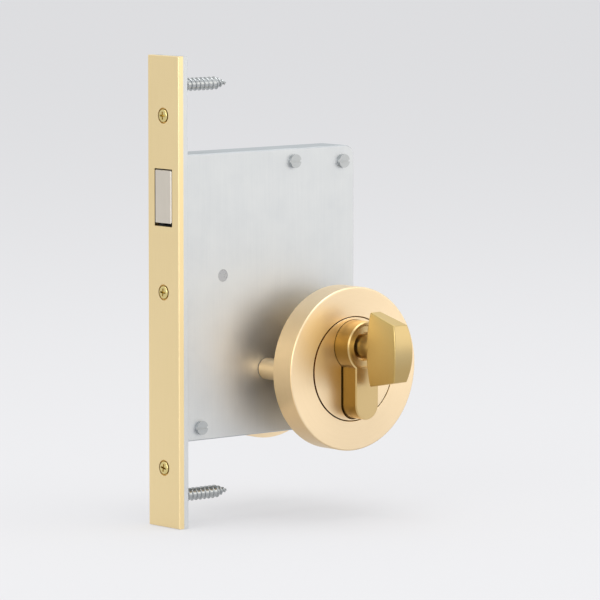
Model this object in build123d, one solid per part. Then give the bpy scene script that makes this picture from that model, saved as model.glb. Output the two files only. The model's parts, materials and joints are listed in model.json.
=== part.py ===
from build123d import *
from math import cos, hypot, radians, sin, tan
import os

os.makedirs("parts", exist_ok=True)

# Sliding door lock with a hook bolt, millimetres, +Z up.
# x = 0 is the front face of the faceplate, y = 0 the middle of the case, z = 0 the middle of the faceplate.
# The thumb turn is on the -Y side and the coin-slot release on the +Y side.

# Thickness between the two roses, and faceplate to cylinder
door_t = 35.0
backset = 60.0

# Faceplate and forend
plate_len = 156.0
plate_w = 16.0
plate_t = 2.0
forend_t = 2.0
plate_edge = 0.25
slot_h = 19.0
slot_w = 9.1

# Faceplate screws: round heads, a little proud of the plate, in flat-bottomed seats
face_screw_pitch = 58.3
face_shank_r = 1.25
face_head_r = 2.15
face_head_h = 1.65
face_head_round = 0.5
face_seat_r = 2.65
face_seat_deep = 1.3
face_screw_past = 1.4
face_recess = 2.6
face_blade = 0.6
face_recess_deep = 1.0
face_screw_turns = (10.0, 4.0, 0.0)

# Forend screws: countersunk wood screws
wood_shank_r = 1.75
wood_neck_r = 2.0
wood_neck_past = 0.6
wood_head_r = 3.7
wood_len = 25.0
wood_tip = 5.0
wood_recess = 4.2
wood_blade = 1.0
wood_turn = 20.0

# Cylinder screw
fix_r = 2.5
fix_head_r = 4.2
fix_recess = 4.6
fix_blade = 1.1
fix_turn = 40.0
recess_deep = 1.4
recess_draft = 10.0

# Rose
rose_z = -27.6
rose_d = 55.0
rose_h = 9.0
rose_edge = 0.5
disc_wall = 0.35
disc_edge = 0.1
rose_wall = 2.0
rose_face_t = 2.2
base_t = 3.0

# Rose bolts and the nuts that they screw into
rose_bolt_r = 2.0
rose_bolt_head_h = 1.5
rose_bolt_slot_w = 1.0
rose_bolt_slot_deep = 1.0
nut_floor = 1.0
nut_spare = 1.0

# Euro profile cylinder
profile_r = 8.5
profile_h = 33.0
profile_w = 10.0
cyl_out = 7.0
cyl_edge = 0.4
cam_slot_w = 10.0
bore_r = 6.5
flange_r = 7.0
flange_t = 1.2
plug_recess = 1.4
coin_w = 1.6
coin_len = 10.0
coin_deep = 2.0

# Circlips and spindle
clip_t = 0.9
clip_open = 70.0
groove_deep = 0.8
clip_land = 0.6
square = 7.0
spindle_hold = 7.5

# Thumb turn
turn_neck_r = 4.0
turn_neck_len = 3.7
neck_room = 0.8
neck_room_deep = 2.0
turn_h = 25.0
turn_front_h = 19.0
turn_drop = 0.4
turn_front_drop = 1.0
turn_depth = 12.8
turn_bulge = 1.8
turn_t = 7.8
turn_side_r = 47.0
turn_edge = 0.45
stem_r = 3.0
stem_len = 13.5
turn_pin_r = 1.0
turn_pin_set = 8.0

# Case
case_t = 13.0
wall_t = 1.3
case_corner_r = 4.0
lid_edge = 0.3
tab_h = 8.0
pillar_r = 2.25
pillar_gap = 0.7
pillar_rear = 1.0
pillar_front = 2.0
pillar_over_hook = 0.8
rivet_r = 1.5
tap_r = 1.25
tap_deep = 6.0
lid_head_r = 2.3
lid_head_h = 1.2
lid_slot_w = 0.7
lid_slot_deep = 0.7

# Hook bolt
pivot_set = 16.0
pivot_rise = 24.4
pivot_drop = 17.0
pivot_r = 3.0
pivot_rivet_r = 2.0
hub_r = 6.0
hook_tail_angle = 52.0
hook_nose_angle = 128.0
web_low_angle = 40.0
web_high_angle = 76.0
web_lap = 1.0
hook_round = 1.5
hook_edge = 0.3
tail_wall = 2.2
nose_proud = 0.2
washer_set = 0.5
throw = 50.0

# Drive slide and cam
quarter = 90.0
cam_reach = 12.7
cam_half_w = 2.5
pin_r = 2.0
prong_t = 2.3
block_wall = 4.0
block_round = 1.0
post_set = 3.3
collar_w = 1.2

# Detent spring
leaf_t = 0.5
leaf_past = 2.2
notch_deep = 1.1
notch_slope = 0.75
catch_set = 5.3
spring_set = 3.0
spring_post_r = 3.0
root_past = 1.6

# Clearances
bolt_side_gap = 0.35
bolt_end_gap = 0.75
bolt_top_gap = 0.45
run_gap = 0.05
fix_gap = 0.04
cut_gap = 0.4
head_gap = 0.15
foot_gap = 0.5
disc_gap = 0.3
clear_gap = 0.3
slide_gap = 0.8
cam_gap = 0.5
cam_side_gap = 0.25
cam_web_gap = 0.2
slot_play = 0.1
pin_play = 0.5
tail_far_gap = 0.35
tail_near_gap = 0.26
washer_gap = 0.15
fix_side_gap = 0.5

# Derived positions
stack = plate_t + forend_t
door_half = door_t / 2
case_half = case_t / 2
room_half = case_half - wall_t
cyl_half = door_half + rose_h + cyl_out
axis_z = rose_z + profile_h / 2 - profile_r
pivot_x = stack + pivot_set
pivot_z = axis_z + pivot_rise
slot_lo = pivot_z + pivot_drop
slot_z = slot_lo + slot_h / 2
face_screw_zs = (-face_screw_pitch, 0.0, face_screw_pitch)
wood_screw_z = (face_screw_pitch + plate_len / 2) / 2
foot_z = axis_z + profile_r - profile_h
slot_floor = axis_z - cam_reach - cam_half_w - slide_gap
fix_screw_z = (slot_floor + foot_z) / 2
tab_zs = (slot_lo / 2, fix_screw_z / 2)
rose_top = door_half + rose_h
disc_r = profile_h / 2 + foot_gap + disc_wall
ring_out = rose_d / 2
cup_in = ring_out - rose_wall
base_r = cup_in - clear_gap
rose_bolt_set = (disc_r + base_r) / 2
rose_bolt_head_r = (base_r - disc_r) / 2 - clear_gap
rose_bolt_xs = (backset - rose_bolt_set, backset + rose_bolt_set)

# Derived mechanism
bolt_half = slot_w / 2 - bolt_side_gap
hook_in = hypot(pivot_x, pivot_drop) + bolt_end_gap
hook_out = hypot(pivot_set, pivot_drop + slot_h) - bolt_end_gap
nose_x = -nose_proud - pivot_x
nose_top = pivot_drop + slot_h - bolt_top_gap
travel = 2 * cam_reach * sin(radians(quarter / 2))
pin_drop = travel / 2 / tan(radians(throw / 2))
pin_far = pin_drop / cos(radians(throw / 2))
pin_x = pivot_x - travel / 2
pin_z = pivot_z - pin_drop
bar_z0 = axis_z + profile_r + cam_gap
bar_z1 = pivot_z - hub_r - slide_gap
notch_x = backset - travel / 2
notch_half = (cam_half_w + cam_gap) / cos(radians(quarter / 2))
notch_top = axis_z + cam_reach + cam_half_w + cam_gap
block_x0 = notch_x - notch_half - prong_t
block_x1 = notch_x + notch_half + prong_t
block_z1 = notch_top + block_wall
post_xs = (pin_x + travel + pin_r, block_x0 - post_set)
post_z = (bar_z0 + bar_z1) / 2
catch_x = block_x0 - catch_set
slide_y0 = clear_gap
slide_y1 = bolt_half
leaf_half = leaf_t / 2 * hypot(1, notch_slope)
tip_z = bar_z1 - notch_deep + clear_gap + leaf_half
spring_x = backset - spring_set

# Derived case
case_x0 = stack
case_x1 = block_x1 + travel + slide_gap + wall_t
pillar_in = wall_t + pillar_r + pillar_gap
case_z0 = fix_screw_z - fix_r - fix_side_gap - pillar_r - pillar_in
case_z1 = pivot_z + hook_out + slide_gap + wall_t
pillars = (
    (case_x1 - pillar_in - pillar_rear, case_z1 - pillar_in - pillar_rear),
    (case_x1 - pillar_in - pillar_rear, case_z0 + pillar_in),
    (case_x0 + pillar_in + pillar_front, case_z0 + pillar_in),
    (pivot_x + pillar_over_hook * hook_out, case_z1 - pillar_in),
)


def slab(outline, y0, y1):
    """An x-z outline as a plate between two depths, front to rear."""
    return Pos(0, y1, 0) * extrude(Plane.XZ * outline, amount=y1 - y0, dir=(0, -1, 0))


def strip(outline, x0, x1):
    """A y-z outline as a plate between two distances from the faceplate's front."""
    return Pos(x0, 0, 0) * extrude(Plane.YZ * outline, amount=x1 - x0, dir=(1, 0, 0))


def rod(r, x, z, y0, y1):
    """A round bar, front to rear."""
    return slab(Pos(x, z) * Circle(r), y0, y1)


def turned_x(points, z=0.0):
    """A form turned about a line along X, from (x, r) points."""
    return Pos(0, 0, z) * revolve(make_face(Polyline(*points, close=True)), Axis.X)


def turned_y(points, x, z):
    """A form turned about a line along Y, from (r, y) points."""
    return Pos(x, 0, z) * revolve(make_face(Polyline(*points, close=True)), Axis.Y)


def box(x0, x1, z0, z1):
    """An upright rectangle as an outline."""
    return Pos((x0 + x1) / 2, (z0 + z1) / 2) * Rectangle(x1 - x0, z1 - z0)


def polar(r, angle):
    return (r * cos(radians(angle)), r * sin(radians(angle)))


def wedge(a0, a1, r):
    """A triangle that covers a circle's sector between two angles."""
    far = 2 * r / cos(radians(a1 - a0) / 2)
    return Polygon((0, 0), polar(far, a0), polar(far, a1), align=None)


def euro(round_head=0.0, round_foot=0.0):
    """The cylinder's keyhole outline, with a gap round its head and another round its foot."""
    foot = profile_h - profile_r - profile_w / 2
    half_w = profile_w / 2 + round_foot
    stem = Pos(0, -foot / 2) * Rectangle(2 * half_w, foot)
    return Pos(backset, axis_z) * (Circle(profile_r + round_head) + stem + Pos(0, -foot) * Circle(half_w))


def cross(size, blade, deep, x, z, turn):
    """A tapered cross recess, cut inwards from distance x."""
    arms = Rectangle(size, blade) + Rectangle(blade, size)
    outline = Plane.YZ * (Pos(0, z) * Rot(0, 0, turn) * arms)
    return Pos(x, 0, 0) * extrude(outline, amount=deep, dir=(1, 0, 0), taper=recess_draft)


def countersink(head_r, hole_r, z):
    """A countersunk hole through the forend, as the form to cut away."""
    deep = plate_t + head_r - hole_r
    return turned_x([(plate_t, 0), (plate_t, head_r), (deep, hole_r), (stack, hole_r), (stack, 0)], z)


def save(shape, name):
    shape.label = name
    export_step(shape, f"parts/{name}.step")


# Faceplate: a flat strip with three screw seats and the bolt slot
plate_outline = Rectangle(plate_w, plate_len)
slot_outline = Pos(0, slot_z) * Rectangle(slot_w, slot_h)
faceplate = strip(plate_outline, 0, plate_t)
faceplate = chamfer(faceplate.edges().group_by(Axis.X)[0], plate_edge)
faceplate -= strip(slot_outline, 0, plate_t)
for z in face_screw_zs:
    faceplate -= strip(Pos(0, z) * Circle(face_seat_r), 0, face_seat_deep)
    faceplate -= strip(Pos(0, z) * Circle(face_shank_r + clear_gap), face_seat_deep, plate_t)
save(faceplate, "faceplate")

# Faceplate screws
face_top = face_seat_deep - face_head_h
screws = []
for z, turn in zip(face_screw_zs, face_screw_turns):
    head = strip(Pos(0, z) * Circle(face_head_r), face_top, face_seat_deep)
    head = fillet(head.edges().group_by(Axis.X)[0], face_head_round)
    screw = head + strip(Pos(0, z) * Circle(face_shank_r), face_seat_deep, stack + face_screw_past)
    screws.append(screw - cross(face_recess, face_blade, face_recess_deep, face_top, z, turn))
save(Compound(children=screws), "faceplate_screws")

# Forend: the steel strip that carries the case
forend = strip(plate_outline, plate_t, stack)
forend = chamfer(forend.edges().group_by(Axis.X)[-1], plate_edge)
forend -= strip(slot_outline, plate_t, stack)
for z in face_screw_zs:
    forend -= strip(Pos(0, z) * Circle(face_shank_r + fix_gap), plate_t, stack)
for z in (-wood_screw_z, wood_screw_z):
    forend -= countersink(wood_head_r + fix_gap, wood_neck_r + fix_gap, z)
forend -= countersink(fix_head_r + fix_gap, fix_r + fix_gap, fix_screw_z)
tab_y = case_half - wall_t / 2
for z in tab_zs:
    for y in (-tab_y, tab_y):
        forend -= strip(Pos(y, z) * Rectangle(wall_t + 2 * fix_gap, tab_h + 2 * fix_gap), plate_t, stack)
save(forend, "forend")

# Forend screws, under the faceplate
head_x = plate_t + fix_gap
neck_end = stack + wood_neck_past
screws = []
for z in (-wood_screw_z, wood_screw_z):
    profile = [
        (head_x, 0),
        (head_x, wood_head_r - fix_gap),
        (plate_t + wood_head_r - wood_neck_r, wood_neck_r),
        (neck_end, wood_neck_r),
        (neck_end, wood_shank_r),
        (plate_t + wood_len - wood_tip, wood_shank_r),
        (plate_t + wood_len, 0),
    ]
    screws.append(turned_x(profile, z) - cross(wood_recess, wood_blade, recess_deep, head_x, z, wood_turn))
save(Compound(children=screws), "forend_screws")

# Cylinder screw: from the forend into the cylinder's bridge
fix_end = backset + profile_w / 2
profile = [
    (head_x, 0),
    (head_x, fix_head_r - fix_gap),
    (plate_t + fix_head_r - fix_r, fix_r),
    (fix_end, fix_r),
    (fix_end, 0),
]
fix_cross = cross(fix_recess, fix_blade, recess_deep, head_x, fix_screw_z, fix_turn)
save(turned_x(profile, fix_screw_z) - fix_cross, "cylinder_screw")

# Case: an open-fronted pressed tray and a flat cover, both tenoned into the forend
outline = box(case_x0, case_x1, case_z0, case_z1)
outline = fillet(outline.vertices().group_by(Axis.X)[-1], case_corner_r)
hollow = box(case_x0 - wall_t, case_x1 - wall_t, case_z0 + wall_t, case_z1 - wall_t)
hollow = fillet(hollow.vertices().group_by(Axis.X)[-1], case_corner_r - wall_t)
side_cut = euro(cut_gap, cut_gap) + Pos(rose_bolt_xs[0], rose_z) * Circle(rose_bolt_r + 2 * clear_gap)
side_cut += Pos(pivot_x, pivot_z) * Circle(pivot_rivet_r + fix_gap)
spring_post_z = bar_z1 - notch_deep + clear_gap + leaf_t / 2 + notch_slope * (spring_x - catch_x)
back_rivets = [*pillars, *((x, post_z) for x in post_xs), (spring_x, spring_post_z)]
tray = slab(outline, -room_half, case_half)
bend = [edge for edge in tray.edges().group_by(Axis.Y)[-1] if edge.center().X > case_x0 + wall_t]
tray = fillet(bend, wall_t - clear_gap)
tray -= slab(hollow, -room_half, room_half)
for z in tab_zs:
    tray += slab(box(plate_t, case_x0 + wall_t, z - tab_h / 2, z + tab_h / 2), room_half, case_half)
back_cut = side_cut
for x, z in back_rivets:
    back_cut += Pos(x, z) * Circle(rivet_r + fix_gap)
tray -= slab(back_cut, room_half, case_half)
save(tray, "case_body")

lid = slab(outline, -case_half, -room_half)
rim = [edge for edge in lid.edges().group_by(Axis.Y)[0] if edge.center().X > case_x0 + wall_t]
lid = chamfer(rim, lid_edge)
for z in tab_zs:
    lid += slab(box(plate_t, case_x0 + wall_t, z - tab_h / 2, z + tab_h / 2), -case_half, -room_half)
front_cut = side_cut
for x, z in pillars:
    front_cut += Pos(x, z) * Circle(tap_r + fix_gap)
save(lid - slab(front_cut, -case_half, -room_half), "case_cover")

# Pillars riveted to the tray and tapped for the cover screws
posts = []
for x, z in pillars:
    post = rod(pillar_r, x, z, -room_half, room_half) + rod(rivet_r, x, z, room_half, case_half)
    posts.append(post - rod(tap_r + fix_gap, x, z, -room_half, tap_deep - room_half))
save(Compound(children=posts), "case_pillars")

lid_top = -case_half - lid_head_h
screws = []
for x, z in pillars:
    head = rod(lid_head_r, x, z, lid_top, -case_half)
    slot = Pos(x, z) * Rectangle(2 * lid_head_r + lid_slot_w, lid_slot_w)
    head -= slab(slot, lid_top, lid_top + lid_slot_deep)
    screws.append(head + rod(tap_r, x, z, -case_half, tap_deep - room_half - clear_gap))
save(Compound(children=screws), "cover_screws")

# Hook bolt: a curved head, a web to the hub, and a slotted tail half as thick
head = (Circle(hook_out) - Circle(hook_in)) & wedge(hook_tail_angle, hook_nose_angle, hook_out)
head -= box(nose_x - hook_out, nose_x, 0, 2 * hook_out)
nose = box(nose_x, stack - pivot_x, pivot_drop, nose_top) - Circle(hook_in)
web = Circle(hook_in + web_lap) & wedge(web_low_angle, web_high_angle, hook_in + web_lap)
form = head + nose + web + Circle(hub_r)
corners = form.vertices().filter_by(lambda v: v.X > 0 and v.Y > hub_r / 2)
form = fillet(corners, hook_round)
tail_half = pin_r + pin_play + tail_wall
tail_far = pin_far + tail_far_gap
slot_near = pin_drop - tail_near_gap
tail = Pos(0, -tail_far / 2) * Rectangle(2 * tail_half, tail_far) + Pos(0, -tail_far) * Circle(tail_half)
tail_slot = Pos(0, -(slot_near + tail_far) / 2) * Rot(0, 0, 90) * SlotCenterToCenter(
    tail_far - slot_near, 2 * (pin_r + pin_play)
)
at_pivot = Pos(pivot_x, pivot_z)
at_tail = at_pivot * Rot(0, 0, -throw / 2)
hook = slab(at_pivot * form, -bolt_half, bolt_half)
rims = hook.edges().group_by(Axis.Y)
hook = chamfer(rims[0] + rims[-1], hook_edge)
hook += slab(at_tail * tail, -bolt_half, 0)
hook -= slab(at_tail * tail_slot, -bolt_half, 0)
hook -= rod(pivot_r + run_gap, pivot_x, pivot_z, -bolt_half, bolt_half)
nose_face = hook.faces().sort_by(Axis.X)[0]
hook = chamfer(nose_face.edges().filter_by(Axis.Y), plate_edge)
save(hook, "hook_bolt")

# Hook pivot, riveted into both walls, with a washer on each side of the hub
pivot = rod(pivot_r, pivot_x, pivot_z, -room_half, room_half)
pivot += rod(pivot_rivet_r, pivot_x, pivot_z, -case_half, case_half)
save(pivot, "hook_pivot")
washer = at_pivot * (Circle(hub_r - washer_set) - Circle(pivot_r + fix_gap))
washers = [
    slab(washer, -room_half, -bolt_half - washer_gap),
    slab(washer, bolt_half + washer_gap, room_half),
]
save(Compound(children=washers), "pivot_washers")

# Drive slide: a pierced plate with the cam notch at one end and the drive pin at the other
arm_half = 2 * pin_r
plate = box(pin_x - arm_half, block_x0 + prong_t, bar_z0, bar_z1) + box(block_x0, block_x1, bar_z0, block_z1)
plate = fillet(plate.vertices().group_by(Axis.Y)[-1], block_round)
plate += box(pin_x - arm_half, pin_x + arm_half, pin_z, bar_z0) + Pos(pin_x, pin_z) * Circle(arm_half)
plate -= box(notch_x - notch_half, notch_x + notch_half, bar_z0, notch_top)
guide_x0 = post_xs[0] - travel - clear_gap
guide_x1 = post_xs[1] + clear_gap
plate -= Pos((guide_x0 + guide_x1) / 2, post_z) * SlotCenterToCenter(
    guide_x1 - guide_x0, 2 * (pin_r + slot_play)
)
catch_half = notch_deep / notch_slope
for x in (catch_x, catch_x - travel):
    plate -= Polygon(
        (x - catch_half, bar_z1), (x, bar_z1 - notch_deep), (x + catch_half, bar_z1), align=None
    )
plate -= Pos(pin_x, pin_z) * Circle(pin_r + fix_gap)
save(slab(plate, slide_y0, slide_y1), "drive_slide")
save(rod(pin_r, pin_x, pin_z, -bolt_half + clear_gap, slide_y1), "drive_pin")

# Guide posts: riveted to the tray, with collars that hold the slide off the wall
guides = []
for x in post_xs:
    guide = rod(pin_r, x, post_z, slide_y0 - slot_play, room_half)
    guide += rod(pin_r + collar_w, x, post_z, slide_y1 + slot_play, room_half)
    guides.append(guide + rod(rivet_r, x, post_z, room_half, case_half))
save(Compound(children=guides), "guide_posts")


# Detent: a leaf spring whose bent tip drops into the slide's two notches
def leaf_at(x):
    return tip_z + notch_slope * abs(x - catch_x)


tail_x = catch_x - leaf_past
root_x = spring_x + root_past
leaf = Polygon(
    (root_x, leaf_at(root_x) - leaf_half),
    (root_x, leaf_at(root_x) + leaf_half),
    (catch_x, tip_z + leaf_half),
    (tail_x, leaf_at(tail_x) + leaf_half),
    (tail_x, leaf_at(tail_x) - leaf_half),
    (catch_x, tip_z - leaf_half),
    align=None,
)
leaf_y0 = slide_y0 + clear_gap
leaf_y1 = slide_y1 - clear_gap
save(slab(leaf, leaf_y0, leaf_y1), "detent_spring")

slit_half = leaf_half + fix_gap
slit_x0 = spring_x - 2 * spring_post_r
slit_x1 = root_x + fix_gap
slit = Polygon(
    (slit_x0, leaf_at(slit_x0) - slit_half),
    (slit_x0, leaf_at(slit_x0) + slit_half),
    (slit_x1, leaf_at(slit_x1) + slit_half),
    (slit_x1, leaf_at(slit_x1) - slit_half),
    align=None,
)
post = rod(spring_post_r, spring_x, spring_post_z, -clear_gap, room_half)
post += rod(rivet_r, spring_x, spring_post_z, room_half, case_half)
save(post - slab(slit, -clear_gap, leaf_y1 + fix_gap), "spring_post")

# Cylinder body: the Euro profile, bored from both ends and slotted for the cam
body = slab(euro(), -cyl_half, cyl_half)
ends = [edge for edge in body.edges() if abs(abs(edge.center().Y) - cyl_half) < run_gap]
body = chamfer(ends, cyl_edge)
cam_slot_half = cam_slot_w / 2
cam_room = box(backset - 2 * profile_r, backset + 2 * profile_r, slot_floor, axis_z + 2 * profile_r)
body -= slab(cam_room, -cam_slot_half, cam_slot_half)
body -= rod(bore_r, backset, axis_z, -cyl_half, cyl_half)
flange_in = cyl_half - plug_recess - flange_t
sink = [
    (0, -cyl_half),
    (flange_r + cyl_edge, -cyl_half),
    (flange_r, cyl_edge - cyl_half),
    (flange_r, -flange_in),
    (0, -flange_in),
]
body -= turned_y(sink, backset, axis_z)
body -= rod(flange_r, backset, axis_z, flange_in, cyl_half)
body -= strip(Pos(0, fix_screw_z) * Circle(fix_r + fix_gap), backset - profile_w, backset + profile_w)
save(body, "cylinder_body")

# Plugs: turning in the bores, flanged outside and clipped inside
plug_r = bore_r - run_gap
plug_flange_r = flange_r - run_gap
clip_y0 = cam_slot_half - clip_t - cut_gap
clip_y1 = clip_y0 + clip_t
groove_r = plug_r - groove_deep
plug_end = clip_y0 - clip_land
turn_face = cyl_half - plug_recess
spindle_half = plug_end + spindle_hold
cam_axis = Pos(backset, axis_z)
socket = cam_axis * Rectangle(square + 2 * fix_gap, square + 2 * fix_gap)


def plug(face_y):
    """A plug turned on the +Y side, its outer face at face_y."""
    profile = [
        (0, plug_end),
        (plug_r, plug_end),
        (plug_r, clip_y0 - fix_gap),
        (groove_r, clip_y0 - fix_gap),
        (groove_r, clip_y1 + fix_gap),
        (plug_r, clip_y1 + fix_gap),
        (plug_r, flange_in + run_gap),
        (plug_flange_r, flange_in + run_gap),
        (plug_flange_r, face_y),
        (0, face_y),
    ]
    return turned_y(profile, backset, axis_z) - slab(socket, plug_end, spindle_half + clear_gap)


def cross_bar(r, half):
    """A round bar across the turn's plug, through its middle."""
    bar = Cylinder(r, 2 * half, align=(Align.CENTER, Align.CENTER, Align.CENTER))
    return Pos(backset, turn_pin_set - turn_face, axis_z) * Rot(0, 90, 0) * bar


cross_hole = cross_bar(turn_pin_r + fix_gap, bore_r)
turn_plug = mirror(plug(turn_face), about=Plane.XZ)
turn_plug -= rod(stem_r + fix_gap, backset, axis_z, -turn_face, clear_gap + stem_len - turn_face)
neck_foot = neck_room_deep - turn_face
turn_plug -= rod(turn_neck_r + neck_room, backset, axis_z, -turn_face, neck_foot)
save(turn_plug - cross_hole, "turn_plug")
save(cross_bar(turn_pin_r, plug_r - clear_gap), "turn_pin")
coin = cam_axis * Rectangle(coin_w, coin_len)
save(plug(cyl_half) - slab(coin, cyl_half - coin_deep, cyl_half), "release_plug")

# Circlips in the plugs' grooves, open at the bottom
clip_r = flange_r + cut_gap
clip = Circle(clip_r) - Circle(groove_r + fix_gap) - wedge(-90 - clip_open / 2, clip_open / 2 - 90, clip_r)
clip = cam_axis * clip
clips = [slab(clip, clip_y0, clip_y1), slab(clip, -clip_y1, -clip_y0)]
save(Compound(children=clips), "circlips")

# Cam: a ring with one nose, keyed to the square spindle
cam_half = cam_slot_half - cam_side_gap
cam_nose_half = bolt_half - slot_play
web_half = plug_end - cam_web_gap
cam_nose = Pos(0, cam_reach / 2) * Rectangle(2 * cam_half_w, cam_reach)
cam_nose += Pos(0, cam_reach) * Circle(cam_half_w)
cam = slab(cam_axis * Circle(profile_r), -cam_half, cam_half)
cam += slab(cam_axis * Rot(0, 0, quarter / 2) * cam_nose, -cam_nose_half, cam_nose_half)
cam -= rod(clip_r + clear_gap, backset, axis_z, web_half, cam_half)
cam -= rod(clip_r + clear_gap, backset, axis_z, -cam_half, -web_half)
cam -= slab(socket, -web_half, web_half)
save(cam, "cam")
save(slab(cam_axis * Rectangle(square, square), -spindle_half, spindle_half), "spindle")

# Thumb turn: a barrel-sided blade with a bowed front edge, a round neck and a stem
blade_y = -cyl_half - turn_neck_len
blade_front = blade_y - turn_depth
bow_front = blade_front - turn_bulge
half_h = turn_h / 2
front_half = turn_front_h / 2
rear_low = (blade_y, -half_h - turn_drop)
rear_high = (blade_y, half_h - turn_drop)
front_low = (blade_front, -front_half - turn_front_drop)
front_high = (blade_front, front_half - turn_front_drop)
side = make_face(
    [
        Polyline(front_high, rear_high, rear_low, front_low),
        ThreePointArc(front_low, (bow_front, -turn_front_drop), front_high),
    ]
)
blade = strip(Pos(0, axis_z) * side, backset - turn_t, backset + turn_t)
barrel_x = turn_side_r - turn_t / 2
barrel = Pos(-barrel_x, 0) * Circle(turn_side_r) & Pos(barrel_x, 0) * Circle(turn_side_r)
barrel_drop = (turn_drop + turn_front_drop) / 2
blade &= slab(cam_axis * Pos(0, -barrel_drop) * barrel, bow_front - turn_edge, blade_y)
blade = fillet(blade.edges(), turn_edge)
neck = rod(turn_neck_r, backset, axis_z, blade_y - 2 * turn_edge, neck_foot)
stem = rod(stem_r, backset, axis_z, neck_foot, stem_len - turn_face)
save(blade + neck + stem - cross_hole, "thumb_turn")

# Roses: a base with the centre disc, and a cup screwed over it
ring_in = disc_r + disc_gap
collar_out = ring_in + rose_wall
base_out = door_half + base_t
ring_profile = [
    (cup_in, door_half),
    (ring_out, door_half),
    (ring_out, rose_top),
    (ring_in, rose_top),
    (ring_in, base_out + clear_gap),
    (collar_out, base_out + clear_gap),
    (collar_out, rose_top - rose_face_t),
    (cup_in, rose_top - rose_face_t),
]
ring = turned_y(ring_profile, backset, rose_z)
top_edges = ring.edges().filter_by(GeomType.CIRCLE).group_by(Axis.Y)[-1].sort_by(SortBy.RADIUS)
ring = fillet(top_edges[-1], rose_edge)
top_edges = ring.edges().filter_by(GeomType.CIRCLE).group_by(Axis.Y)[-1].sort_by(SortBy.RADIUS)
ring = chamfer(top_edges[0], disc_edge)
save(ring, "rear_rose_ring")
save(mirror(ring, about=Plane.XZ), "front_rose_ring")

base_profile = [
    (0, door_half),
    (base_r, door_half),
    (base_r, base_out),
    (disc_r, base_out),
    (disc_r, rose_top - disc_edge),
    (disc_r - disc_edge, rose_top),
    (0, rose_top),
]
rear_base = turned_y(base_profile, backset, rose_z) - slab(euro(head_gap, foot_gap), door_half, rose_top)
front_base = mirror(rear_base, about=Plane.XZ)
head_in = base_out - rose_bolt_head_h
hole_r = rose_bolt_r + fix_gap
hole_end = nut_floor - base_out
nut_end = -case_half - clear_gap
bolts = []
for x in rose_bolt_xs:
    rear_base -= rod(hole_r, x, rose_z, door_half, base_out)
    rear_base -= rod(rose_bolt_head_r + fix_gap, x, rose_z, head_in, base_out)
    front_base += rod(rose_bolt_head_r, x, rose_z, -door_half, nut_end)
    front_base -= rod(hole_r, x, rose_z, hole_end, nut_end)
    bolt = rod(rose_bolt_r, x, rose_z, hole_end + nut_spare, head_in)
    bolt += rod(rose_bolt_head_r, x, rose_z, head_in, base_out)
    slot = Pos(x, rose_z) * Rectangle(2 * rose_bolt_head_r + rose_bolt_slot_w, rose_bolt_slot_w)
    bolts.append(bolt - slab(slot, base_out - rose_bolt_slot_deep, base_out))
save(front_base, "front_rose_base")
save(rear_base, "rear_rose_base")
save(Compound(children=bolts), "rose_bolts")
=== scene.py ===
import json
import math

import bpy
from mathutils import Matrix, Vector


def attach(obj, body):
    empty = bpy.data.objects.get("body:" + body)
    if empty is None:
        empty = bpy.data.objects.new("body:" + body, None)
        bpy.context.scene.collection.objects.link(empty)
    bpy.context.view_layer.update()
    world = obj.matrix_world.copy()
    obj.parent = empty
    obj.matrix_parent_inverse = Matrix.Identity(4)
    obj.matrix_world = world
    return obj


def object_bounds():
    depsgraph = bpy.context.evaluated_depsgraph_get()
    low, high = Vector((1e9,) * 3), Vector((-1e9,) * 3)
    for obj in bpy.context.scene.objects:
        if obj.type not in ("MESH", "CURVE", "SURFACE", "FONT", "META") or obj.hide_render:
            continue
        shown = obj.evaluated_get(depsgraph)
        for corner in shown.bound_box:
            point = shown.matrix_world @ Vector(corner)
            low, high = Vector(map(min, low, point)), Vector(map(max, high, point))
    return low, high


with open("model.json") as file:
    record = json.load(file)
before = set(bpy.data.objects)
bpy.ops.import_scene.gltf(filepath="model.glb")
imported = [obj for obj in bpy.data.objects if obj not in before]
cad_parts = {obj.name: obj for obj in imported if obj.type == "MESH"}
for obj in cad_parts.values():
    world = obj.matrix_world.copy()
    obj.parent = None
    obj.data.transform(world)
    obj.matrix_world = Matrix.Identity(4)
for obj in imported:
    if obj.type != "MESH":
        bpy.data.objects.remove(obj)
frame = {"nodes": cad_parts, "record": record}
nodes = frame["nodes"]
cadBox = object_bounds()
mm = 0.001
print("frame loaded:", len(nodes), "pieces")


def linear(hexColour):  # sRGB hex to linear RGBA
    channels = [int(hexColour[i:i + 2], 16) / 255 for i in (1, 3, 5)]
    return [c / 12.92 if c <= 0.04045 else ((c + 0.055) / 1.055) ** 2.4 for c in channels] + [1.0]


def addNode(tree, kind, props=None, values=None, links=None):
    node = tree.nodes.new(kind)
    for key, value in (props or {}).items():
        setattr(node, key, value)
    for key, value in (values or {}).items():
        node.inputs[key].default_value = value
    for key, output in (links or {}).items():
        tree.links.new(output, node.inputs[key])
    return node


def newMaterial(name):
    material = bpy.data.materials.new(name)
    material.use_nodes = True
    material.node_tree.nodes.clear()
    return material, material.node_tree


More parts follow.
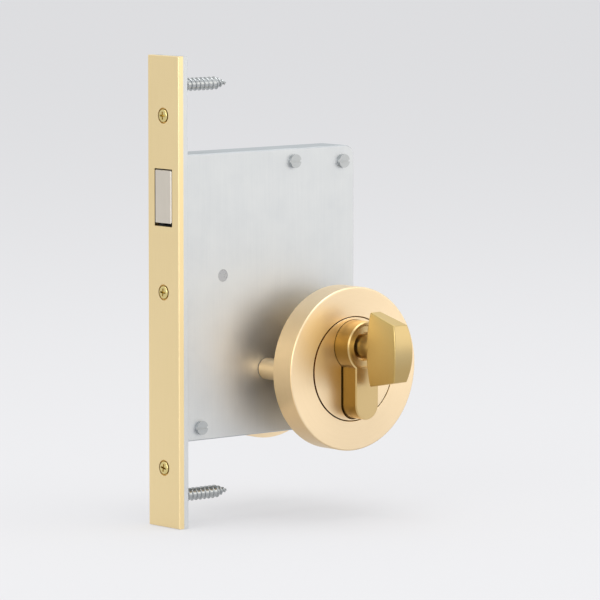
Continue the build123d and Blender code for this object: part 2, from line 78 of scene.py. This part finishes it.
def paintedFacingLight(tree, look, place):
    # painted light and shade: a tint for how squarely a face looks to a side of the lock, along X, to its front
    # or rear, along Y, or up or down
    axes = addNode(tree, "ShaderNodeSeparateXYZ", None, None, {"Vector": place.outputs["Normal"]})
    tints = []
    for key, axis in (("sideShading", "X"), ("frontShading", "Y"), ("topShading", "Z")):
        if key in look:
            along = addNode(tree, "ShaderNodeMath", {"operation": "ABSOLUTE"}, None, {0: axes.outputs[axis]})
            share = addNode(tree, "ShaderNodeMapRange", {"interpolation_type": "SMOOTHSTEP"},
                            {"From Min": look["squareFrom"]}, {"Value": along.outputs["Value"]})
            tints.append((look[key], share.outputs["Result"]))
    # painted shade on faces that lean downwards
    if "underShading" in look:  # faces that lean downwards
        under = addNode(tree, "ShaderNodeMapRange", {"interpolation_type": "SMOOTHSTEP"},
                        {"From Min": 0.0, "From Max": -look["underFull"]}, {"Value": axes.outputs["Z"]})
        tints.append((look["underShading"], under.outputs["Result"]))
    return tints


# how each noise is built up: brush lines and bead marks are crisp, clouds are smooth
brushNoise = {"Scale": 1.0, "Detail": 3.0, "Roughness": 0.6}
beadNoise = {"Detail": 3.0, "Roughness": 0.55}
cloudNoise = {"Detail": 2.0}


def metalSurface(tree, look, place, grain, morePaintedShade=()):
    # the grain raises the lines, and mixed with slow clouds it tones the metal and varies its gloss
    cloud = addNode(tree, "ShaderNodeTexNoise", None, {"Scale": 1 / (look["cloudMm"] * mm), **cloudNoise},
                    {"Vector": place.outputs["Object"]})
    mottle = addNode(tree, "ShaderNodeMix", {"data_type": "FLOAT"}, {"Factor": look["cloudShare"]},
                     {"A": grain.outputs["Fac"], "B": cloud.outputs["Fac"]})
    tone = addNode(tree, "ShaderNodeMix", {"data_type": "RGBA"},
                   {"A": linear(look["dark"]), "B": linear(look["light"])},
                   {"Factor": mottle.outputs["Result"]})
    # the tone is multiplied by the painted light and shade of each facing, and by any painted shade passed in
    for tint, share in [*paintedFacingLight(tree, look, place), *morePaintedShade]:
        tone = addNode(tree, "ShaderNodeMix", {"data_type": "RGBA", "blend_type": "MULTIPLY"},
                       {"B": linear(tint)}, {"Factor": share, "A": tone.outputs["Result"]})
    gloss = addNode(tree, "ShaderNodeMapRange", None,
                    {"To Min": look["roughness"] - look["glossSpread"],
                     "To Max": look["roughness"] + look["glossSpread"]}, {"Value": mottle.outputs["Result"]})
    bump = addNode(tree, "ShaderNodeBump", None,
                   {"Strength": look["bump"], "Distance": look["lineDeepMm"] * mm},
                   {"Height": grain.outputs["Fac"]})
    shader = addNode(tree, "ShaderNodeBsdfPrincipled", None,
                     {"Metallic": 1.0, "Anisotropic": look.get("anisotropic", 0.0)},
                     {"Base Color": tone.outputs["Result"], "Roughness": gloss.outputs["Result"],
                      "Normal": bump.outputs["Normal"]})
    if "tangentAxis" in look:
        tangent = addNode(tree, "ShaderNodeTangent", {"direction_type": "RADIAL", "axis": look["tangentAxis"]})
        tree.links.new(tangent.outputs["Tangent"], shader.inputs["Tangent"])
    addNode(tree, "ShaderNodeOutputMaterial", None, None, {"Surface": shader.outputs["BSDF"]})


def straightBrushed(name, look):
    # metal drawn along one axis over an abrasive belt: long faint lines, even sheen
    material, tree = newMaterial(name)
    place = addNode(tree, "ShaderNodeTexCoord")
    lines = [1 / (look["lineWideMm"] * mm)] * 3
    lines["xyz".index(look["along"])] = 1 / (look["lineLongMm"] * mm)
    stretch = addNode(tree, "ShaderNodeMapping", None, {"Scale": lines}, {"Vector": place.outputs["Object"]})
    grain = addNode(tree, "ShaderNodeTexNoise", None, brushNoise, {"Vector": stretch.outputs["Vector"]})
    metalSurface(tree, look, place, grain)
    return material


def ringBrushed(name, look):
    # metal finished on a lathe: lines run round the centre of the rose, so the sheen fans out from it
    material, tree = newMaterial(name)
    place = addNode(tree, "ShaderNodeTexCoord")
    centred = addNode(tree, "ShaderNodeMapping", None, {"Location": [-c for c in look["centre"]]},
                      {"Vector": place.outputs["Object"]})
    axes = addNode(tree, "ShaderNodeSeparateXYZ", None, None, {"Vector": centred.outputs["Vector"]})
    flat = addNode(tree, "ShaderNodeCombineXYZ", None, None, {"X": axes.outputs["X"], "Z": axes.outputs["Z"]})
    radius = addNode(tree, "ShaderNodeVectorMath", {"operation": "LENGTH"}, None, {0: flat.outputs["Vector"]})
    angle = addNode(tree, "ShaderNodeMath", {"operation": "ARCTAN2"}, None,
                    {0: axes.outputs["Z"], 1: axes.outputs["X"]})
    lathe = addNode(tree, "ShaderNodeCombineXYZ", None, None,
                    {"X": radius.outputs["Value"], "Y": axes.outputs["Y"], "Z": angle.outputs["Value"]})
    line = 1 / (look["lineWideMm"] * mm)
    stretch = addNode(tree, "ShaderNodeMapping", None, {"Scale": (line, line, look["linesRound"])},
                      {"Vector": lathe.outputs["Vector"]})
    grain = addNode(tree, "ShaderNodeTexNoise", None, brushNoise, {"Vector": stretch.outputs["Vector"]})
    # painted shade in the joint between the ring and the centre disc, widest on the side of the plate
    jointRadius = look["jointMm"] * mm
    off = addNode(tree, "ShaderNodeMath", {"operation": "SUBTRACT"}, {1: jointRadius},
                  {0: radius.outputs["Value"]})
    away = addNode(tree, "ShaderNodeMath", {"operation": "ABSOLUTE"}, None, {0: off.outputs["Value"]})
    half = addNode(tree, "ShaderNodeMapRange", None,
                   {"From Min": look["jointShadeCloses"] * jointRadius, "From Max": -jointRadius,
                    "To Min": 0.0, "To Max": look["jointShadeHalfMm"] * mm}, {"Value": axes.outputs["X"]})
    joint = addNode(tree, "ShaderNodeMath", {"operation": "LESS_THAN"}, None,
                    {0: away.outputs["Value"], 1: half.outputs["Result"]})
    metalSurface(tree, look, place, grain, [(look["jointShadeTint"], joint.outputs["Value"])])
    return material


def blasted(name, look):
    # metal with an even grain that has no direction, as left by fine beads, plating or polishing
    material, tree = newMaterial(name)
    place = addNode(tree, "ShaderNodeTexCoord")
    grain = addNode(tree, "ShaderNodeTexNoise", None, {"Scale": 1 / (look["grainMm"] * mm), **beadNoise},
                    {"Vector": place.outputs["Object"]})
    metalSurface(tree, look, place, grain)
    return material


# brush lines are about 0.05 mm wide on the real metal, and bead marks finer still
# all of them are drawn coarser, so that they just show

# satin brass strip, brushed along its length and lacquered: very even, with lines only just seen
plateLook = {"dark": "#EDD6A1", "light": "#F7E0AE", "roughness": 0.34, "glossSpread": 0.03, "bump": 0.05,
             "lineDeepMm": 0.01, "along": "z", "lineWideMm": 0.3, "lineLongMm": 14, "cloudMm": 25,
             "cloudShare": 0.35}
plateBrass = straightBrushed("satinBrassPlate", plateLook)

# satin brass turned on a lathe: peach gold with faint rings; a painted reflection makes its rim yellower where
# it faces sideways, and faces that lean down get painted shade
roseLook = {"dark": "#F0D8B0", "light": "#F9E2BE", "roughness": 0.36, "glossSpread": 0.03, "bump": 0.12,
            "lineDeepMm": 0.01, "lineWideMm": 0.3, "linesRound": 3.0, "cloudMm": 18, "cloudShare": 0.35,
            "centre": (0.060, 0.0, -0.0276), "anisotropic": 0.45, "tangentAxis": "Y",
            "sideShading": "#FFF3DE", "squareFrom": 0.4, "underShading": "#ECE7DB", "underFull": 0.8,
            "jointMm": 17.5, "jointShadeHalfMm": 0.34, "jointShadeCloses": 0.6, "jointShadeTint": "#5E360C"}
roseBrass = ringBrushed("satinBrassRose", roseLook)

# satin brass profile, drawn through a die and brushed: painted shade gives its sides a deeper gold, and a cool
# painted sheen on its ends leaves them paler than the sides
cylinderLook = {"dark": "#E8C686", "light": "#F3D192", "roughness": 0.33, "glossSpread": 0.03, "bump": 0.05,
                "lineDeepMm": 0.01, "along": "y", "lineWideMm": 0.3, "lineLongMm": 8, "cloudMm": 12,
                "cloudShare": 0.4, "sideShading": "#A39872", "frontShading": "#E2E7F3", "squareFrom": 0.4}
cylinderBrass = straightBrushed("satinBrassCylinder", cylinderLook)

# satin brass casting with a fine blasted skin: greenish gold; painted shade darkens its sides a little, a cool
# painted sheen makes its bowed front less yellow, and faces that lean down get a warmer painted shade
turnLook = {"dark": "#D3B875", "light": "#DEC27F", "roughness": 0.36, "glossSpread": 0.03, "bump": 0.06,
            "lineDeepMm": 0.01, "grainMm": 0.25, "cloudMm": 12, "cloudShare": 0.4, "sideShading": "#ECEDF0",
            "frontShading": "#E4E7FF", "squareFrom": 0.4, "underShading": "#FAF3E4", "underFull": 0.25}
turnBrass = blasted("satinBrassTurn", turnLook)

# bright yellow brass screws, turned and polished: glossier than the rest
screwLook = {"dark": "#D8C47F", "light": "#E2D194", "roughness": 0.24, "glossSpread": 0.03, "bump": 0.04,
             "lineDeepMm": 0.01, "grainMm": 0.3, "cloudMm": 6, "cloudShare": 0.3}
screwBrass = blasted("brightBrassScrew", screwLook)

# zinc plated steel sheet: cool bright grey, faint rolling lines and a cloudy film; the faces above and below
# get painted shade that tones down the highlights on them
sheetLook = {"dark": "#C6CACD", "light": "#DCDEDE", "roughness": 0.5, "glossSpread": 0.06, "bump": 0.06,
             "lineDeepMm": 0.01, "along": "z", "lineWideMm": 0.4, "lineLongMm": 20, "cloudMm": 9,
             "cloudShare": 0.6, "topShading": "#D2D6D8", "squareFrom": 0.4}
zincSheet = straightBrushed("zincPlatedSheet", sheetLook)

# zinc plated screws and rivets: a harder grey than the sheet, with sharper lights
fastenerLook = {"dark": "#A5AAAE", "light": "#C4C6C4", "roughness": 0.3, "glossSpread": 0.05, "bump": 0.05,
                "lineDeepMm": 0.01, "grainMm": 0.4, "cloudMm": 4, "cloudShare": 0.5}
zincFastener = blasted("zincPlatedFastener", fastenerLook)

# satin nickel on a steel casting: warm pale grey, brushed along the nose
nickelLook = {"dark": "#CFC7BA", "light": "#DDD6CA", "roughness": 0.42, "glossSpread": 0.04, "bump": 0.06,
              "lineDeepMm": 0.01, "along": "z", "lineWideMm": 0.3, "lineLongMm": 10, "cloudMm": 8,
              "cloudShare": 0.4}
boltNickel = straightBrushed("satinNickelBolt", nickelLook)

# turned and polished steel pins: bright and smooth
pinLook = {"dark": "#A2A3A5", "light": "#BEBFC0", "roughness": 0.28, "glossSpread": 0.05, "bump": 0.05,
           "lineDeepMm": 0.01, "grainMm": 0.3, "cloudMm": 4, "cloudShare": 0.4}
pinSteel = blasted("turnedSteelPin", pinLook)

# stamped and sintered steel: darker, grainy and a little oily
slideLook = {"dark": "#7E7E80", "light": "#98989A", "roughness": 0.45, "glossSpread": 0.08, "bump": 0.12,
             "lineDeepMm": 0.02, "grainMm": 0.35, "cloudMm": 5, "cloudShare": 0.4}
slideSteel = blasted("sinteredSteel", slideLook)

# blued spring steel: dark, smooth and slightly blue
springLook = {"dark": "#5A606C", "light": "#737A86", "roughness": 0.3, "glossSpread": 0.05, "bump": 0.04,
              "lineDeepMm": 0.01, "grainMm": 0.3, "cloudMm": 4, "cloudShare": 0.5}
springSteel = blasted("bluedSpringSteel", springLook)

finishes = {
    "plate_brass": plateBrass,
    "screw_brass": screwBrass,
    "rose_brass": roseBrass,
    "cylinder_brass": cylinderBrass,
    "turn_brass": turnBrass,
    "zinc_steel": zincSheet,
    "fastener_steel": zincFastener,
    "bolt_nickel": boltNickel,
    "pin_steel": pinSteel,
    "slide_steel": slideSteel,
    "spring_steel": springSteel,
}
for subpart in frame["record"]["subparts"]:
    nodes[subpart["node"]].data.materials[0] = finishes[subpart["material_slot"]]
print("finishes given:", len(finishes))


# threads rolled on the screws, one ridge wound along a shank and repeated on each screw of a pair
threadLengths = ("Length", "Reach", "Tip", "Radius", "Pitch", "Ridge High", "Ridge Wide")
threadPlaces = ("First", "Apart", "Turned")
threadInputs = {**dict.fromkeys(threadLengths, "NodeSocketFloat"), "Steps": "NodeSocketInt",
                **dict.fromkeys(threadPlaces, "NodeSocketVector"), "Metal": "NodeSocketMaterial"}


def makeThreadTree():
    tree = bpy.data.node_groups.new("screwThreads", "GeometryNodeTree")
    tree.interface.new_socket("Geometry", in_out="OUTPUT", socket_type="NodeSocketGeometry")
    for label, kind in threadInputs.items():
        tree.interface.new_socket(label, in_out="INPUT", socket_type=kind)
    given = addNode(tree, "NodeGroupInput").outputs
    # points along the ridge, each with its distance along the shank
    points = addNode(tree, "GeometryNodeMeshLine", {"mode": "OFFSET"}, {"Offset": (0, 0, 0)},
                     {"Count": given["Steps"]})
    index = addNode(tree, "GeometryNodeInputIndex")
    last = addNode(tree, "ShaderNodeMath", {"operation": "SUBTRACT"}, {1: 1.0}, {0: given["Steps"]})
    share = addNode(tree, "ShaderNodeMath", {"operation": "DIVIDE"}, None,
                    {0: index.outputs["Index"], 1: last.outputs["Value"]})
    along = addNode(tree, "ShaderNodeMath", {"operation": "MULTIPLY"}, None,
                    {0: share.outputs["Value"], 1: given["Length"]})
    turns = addNode(tree, "ShaderNodeMath", {"operation": "DIVIDE"}, None,
                    {0: along.outputs["Value"], 1: given["Pitch"]})
    angle = addNode(tree, "ShaderNodeMath", {"operation": "MULTIPLY"}, {1: 2 * math.pi},
                    {0: turns.outputs["Value"]})
    # the shank's radius there, less towards a point
    left = addNode(tree, "ShaderNodeMath", {"operation": "SUBTRACT"}, None,
                   {0: given["Reach"], 1: along.outputs["Value"]})
    taper = addNode(tree, "ShaderNodeMath", {"operation": "DIVIDE"}, None,
                    {0: left.outputs["Value"], 1: given["Tip"]})
    full = addNode(tree, "ShaderNodeMath", {"operation": "MINIMUM"}, {1: 1.0}, {0: taper.outputs["Value"]})
    radius = addNode(tree, "ShaderNodeMath", {"operation": "MULTIPLY"}, None,
                     {0: full.outputs["Value"], 1: given["Radius"]})
    cosine = addNode(tree, "ShaderNodeMath", {"operation": "COSINE"}, None, {0: angle.outputs["Value"]})
    sine = addNode(tree, "ShaderNodeMath", {"operation": "SINE"}, None, {0: angle.outputs["Value"]})
    outward = addNode(tree, "ShaderNodeCombineXYZ", None, None,
                      {"Y": cosine.outputs["Value"], "Z": sine.outputs["Value"]})
    onShank = addNode(tree, "ShaderNodeVectorMath", {"operation": "SCALE"}, None,
                      {0: outward.outputs["Vector"], "Scale": radius.outputs["Value"]})
    forward = addNode(tree, "ShaderNodeCombineXYZ", None, None, {"X": along.outputs["Value"]})
    spot = addNode(tree, "ShaderNodeVectorMath", {"operation": "ADD"}, None,
                   {0: onShank.outputs["Vector"], 1: forward.outputs["Vector"]})
    wound = addNode(tree, "GeometryNodeSetPosition", None, None,
                    {"Geometry": points.outputs["Mesh"], "Position": spot.outputs["Vector"]})
    path = addNode(tree, "GeometryNodeMeshToCurve", None, None, {"Mesh": wound.outputs["Geometry"]})
    upright = addNode(tree, "GeometryNodeSetCurveNormal", {"mode": "FREE"}, None,
                      {"Curve": path.outputs["Curve"], "Normal": outward.outputs["Vector"]})
    ridge = addNode(tree, "GeometryNodeCurvePrimitiveQuadrilateral", {"mode": "KITE"}, None,
                    {"Width": given["Ridge High"], "Bottom Height": given["Ridge Wide"],
                     "Top Height": given["Ridge Wide"]})
    thread = addNode(tree, "GeometryNodeCurveToMesh", None, {"Fill Caps": True},
                     {"Curve": upright.outputs["Curve"], "Profile Curve": ridge.outputs["Curve"]})
    # one for each screw of the pair
    pair = addNode(tree, "GeometryNodeMeshLine", {"mode": "OFFSET"}, {"Count": 2},
                   {"Start Location": given["First"], "Offset": given["Apart"]})
    placed = addNode(tree, "GeometryNodeInstanceOnPoints", None, None,
                     {"Points": pair.outputs["Mesh"], "Instance": thread.outputs["Mesh"],
                      "Rotation": given["Turned"]})
    solid = addNode(tree, "GeometryNodeRealizeInstances", None, None, {"Geometry": placed.outputs["Instances"]})
    plated = addNode(tree, "GeometryNodeSetMaterial", None, None,
                     {"Geometry": solid.outputs["Geometry"], "Material": given["Metal"]})
    addNode(tree, "NodeGroupOutput", None, None, {"Geometry": plated.outputs["Geometry"]})
    return tree


threadTree = makeThreadTree()

# coarse wood thread up to the point, from just behind the forend
woodThread = {"Length": 20.1 * mm, "Reach": 20.4 * mm, "Tip": 5.0 * mm, "Radius": 1.75 * mm, "Pitch": 1.8 * mm,
              "Ridge High": 0.9 * mm, "Ridge Wide": 0.35 * mm, "Steps": 270,
              "First": (6.6 * mm, 0, -68.15 * mm), "Apart": (0, 0, 136.3 * mm),
              "Turned": (0, 0, 0), "Metal": zincFastener}
# fine machine thread on the bare part of each rose bolt, drawn a little coarser than the real 0.7 mm
boltThread = {"Length": 23.6 * mm, "Reach": 40 * mm, "Tip": 1 * mm, "Radius": 2.0 * mm, "Pitch": 0.9 * mm,
              "Ridge High": 0.4 * mm, "Ridge Wide": 0.2 * mm, "Steps": 630,
              "First": (38.725 * mm, -6.4 * mm, -27.6 * mm), "Apart": (42.55 * mm, 0, 0),
              "Turned": (0, 0, math.pi / 2), "Metal": zincFastener}


def windThread(name, look):
    thread = bpy.data.objects.new(name, bpy.data.meshes.new(name))
    bpy.context.scene.collection.objects.link(thread)
    modifier = thread.modifiers.new("wind", "NODES")
    modifier.node_group = threadTree
    for socket in threadTree.interface.items_tree:
        if socket.in_out == "INPUT":
            modifier[socket.identifier] = look[socket.name]
    grown = bpy.data.meshes.new_from_object(thread.evaluated_get(bpy.context.evaluated_depsgraph_get()))
    grown.name = name
    thread.modifiers.remove(modifier)
    thread.data = grown
    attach(thread, "lock_case")
    print(name, "faces:", len(grown.polygons))


windThread("forendScrewThreads", woodThread)
windThread("roseBoltThreads", boltThread)

# camera on the photographed side, a long lens aimed a little to the right of the middle and below it
cameraLook = {"target": (0.040, 0.0, 0.0), "azimuth": -40.043, "elevation": 5.795, "distance": 1.5978,
              "focalPixels": 4772.8, "imagePixels": 600, "aimRight": 0.01452, "aimDown": 0.00522,
              "sensorMm": 36, "nearest": 0.01, "farthest": 100}


def makeCamera(look):
    azimuth, elevation = math.radians(look["azimuth"]), math.radians(look["elevation"])
    back = Vector((math.sin(azimuth) * math.cos(elevation), -math.cos(azimuth) * math.cos(elevation),
                   math.sin(elevation)))
    right = Vector((math.cos(azimuth), math.sin(azimuth), 0))
    up = back.cross(right)
    data = bpy.data.cameras.new("camera")
    data.sensor_width = look["sensorMm"]
    data.lens = look["focalPixels"] * look["sensorMm"] / look["imagePixels"]
    data.clip_start, data.clip_end = look["nearest"], look["farthest"]
    camera = bpy.data.objects.new("camera", data)
    target = Vector(look["target"])
    camera.location = target + back * look["distance"]
    aim = target + right * look["aimRight"] - up * look["aimDown"]
    camera.rotation_euler = (aim - camera.location).to_track_quat("-Z", "Y").to_euler()
    bpy.context.scene.collection.objects.link(camera)
    bpy.context.scene.camera = camera


makeCamera(cameraLook)

# pale floor just under the plate's lower end
floorLook = {"colour": "#E2E2E4", "seenShare": 0.65, "below": 0.0002, "half": 30.0}


def makeFloor(look):
    z = cadBox[0].z - look["below"]
    half = look["half"]
    corners = [(-half, -half, z), (half, -half, z), (half, half, z), (-half, half, z)]
    mesh = bpy.data.meshes.new("floor")
    mesh.from_pydata(corners, [], [(0, 1, 2, 3)])
    material, tree = newMaterial("paleStudioFloor")
    # part of its paleness is its own, so that it stays even, and the metal mirrors what the camera sees
    path = addNode(tree, "ShaderNodeLightPath")
    mirrored = addNode(tree, "ShaderNodeMath", {"operation": "ADD", "use_clamp": True}, None,
                       {0: path.outputs["Is Glossy Ray"], 1: path.outputs["Is Transmission Ray"]})
    looked = addNode(tree, "ShaderNodeMath", {"operation": "ADD", "use_clamp": True}, None,
                     {0: path.outputs["Is Camera Ray"], 1: mirrored.outputs["Value"]})
    share = addNode(tree, "ShaderNodeMath", {"operation": "MULTIPLY"}, {1: look["seenShare"]},
                    {0: looked.outputs["Value"]})
    matte = addNode(tree, "ShaderNodeBsdfDiffuse", None, {"Color": linear(look["colour"])})
    glow = addNode(tree, "ShaderNodeEmission", None, {"Color": linear(look["colour"])})
    mixed = addNode(tree, "ShaderNodeMixShader", None, None,
                    {0: share.outputs["Value"], 1: matte.outputs["BSDF"], 2: glow.outputs["Emission"]})
    addNode(tree, "ShaderNodeOutputMaterial", None, None, {"Surface": mixed.outputs["Shader"]})
    mesh.materials.append(material)
    floor = bpy.data.objects.new("floor", mesh)
    bpy.context.scene.collection.objects.link(floor)


makeFloor(floorLook)

# soft studio: pale all round, darker towards its open side
studioLook = {"light": "#F3F4F5", "dim": "#CDCDCF", "dimSide": (-0.64, -0.76, 0.0), "dimFrom": 0.2}


def makeStudio(look):
    world = bpy.data.worlds.new("studio")
    world.use_nodes = True
    tree = world.node_tree
    tree.nodes.clear()
    place = addNode(tree, "ShaderNodeTexCoord")
    towards = addNode(tree, "ShaderNodeVectorMath", {"operation": "DOT_PRODUCT"}, {1: look["dimSide"]},
                      {0: place.outputs["Generated"]})
    dimming = addNode(tree, "ShaderNodeMapRange", {"interpolation_type": "SMOOTHSTEP"},
                      {"From Min": look["dimFrom"]}, {"Value": towards.outputs["Value"]})
    tone = addNode(tree, "ShaderNodeMix", {"data_type": "RGBA"},
                   {"A": linear(look["light"]), "B": linear(look["dim"])},
                   {"Factor": dimming.outputs["Result"]})
    backdrop = addNode(tree, "ShaderNodeBackground", None, None, {"Color": tone.outputs["Result"]})
    addNode(tree, "ShaderNodeOutputWorld", None, None, {"Surface": backdrop.outputs["Background"]})
    bpy.context.scene.world = world


makeStudio(studioLook)

# the key lights the fronts of rose and turn, the side one the rims and the plate, the top one what faces up
softboxes = {
    "keySoftbox": {"at": (0.95, -1.05, 0.40), "wide": 1.6, "high": 0.9, "watts": 4.1, "colour": "#FFF8EE"},
    "sideSoftbox": {"at": (-2.1, -1.0, 0.75), "wide": 3.0, "high": 1.5, "watts": 30.0, "colour": "#FFFFFF"},
    "topSoftbox": {"at": (0.1, -0.1, 1.1), "wide": 0.9, "high": 0.9, "watts": 6.5, "colour": "#FFFFFF"},
}


def hangSoftboxes(boxes):
    middle = Vector(cameraLook["target"])
    for name, box in boxes.items():
        data = bpy.data.lights.new(name, "AREA")
        data.shape, data.size, data.size_y, data.energy = "RECTANGLE", box["wide"], box["high"], box["watts"]
        data.color = linear(box["colour"])[:3]
        lamp = bpy.data.objects.new(name, data)
        lamp.location = box["at"]
        lamp.rotation_euler = (middle - lamp.location).to_track_quat("-Z", "Y").to_euler()
        lamp.visible_camera = False  # it stands in some of the views
        bpy.context.scene.collection.objects.link(lamp)


hangSoftboxes(softboxes)
bpy.context.scene.view_settings.view_transform = "Standard"
print("camera, floor and light made")
